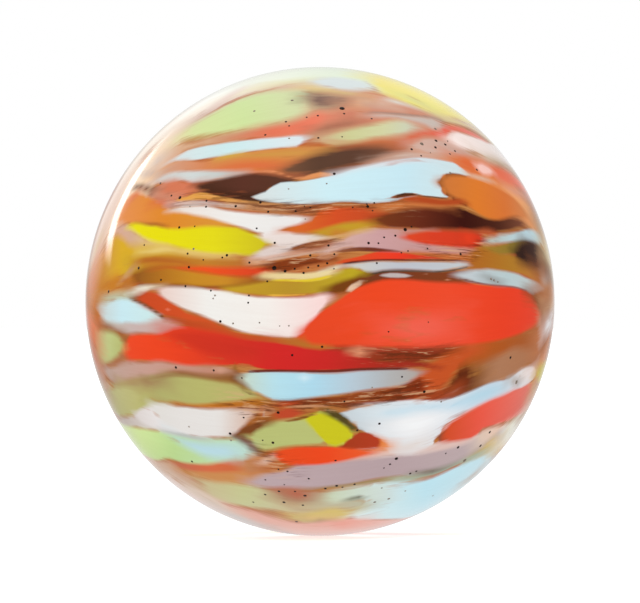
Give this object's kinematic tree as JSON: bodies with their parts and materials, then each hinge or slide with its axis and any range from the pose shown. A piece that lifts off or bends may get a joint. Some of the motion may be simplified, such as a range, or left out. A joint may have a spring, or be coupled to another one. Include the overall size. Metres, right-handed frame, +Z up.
{
  "type": "glass marble",
  "caption": "Handmade glass marble with long overlapping streaks of coloured glass drawn along one axis.",
  "frame": {"origin": "centre of the ball", "axes": "+X along the streaks, towards the viewer's right; -Y towards the viewer of the picture; +Z up"},
  "size_m": [0.025, 0.025, 0.025],
  "materials": {
    "streaked_glass": "polished, with long streaks of amber, red, white, pale blue, mauve, olive and brown glass and small pits"
  },
  "bodies": {
    "root": {"marble": "streaked_glass"}
  },
  "joints": []
}
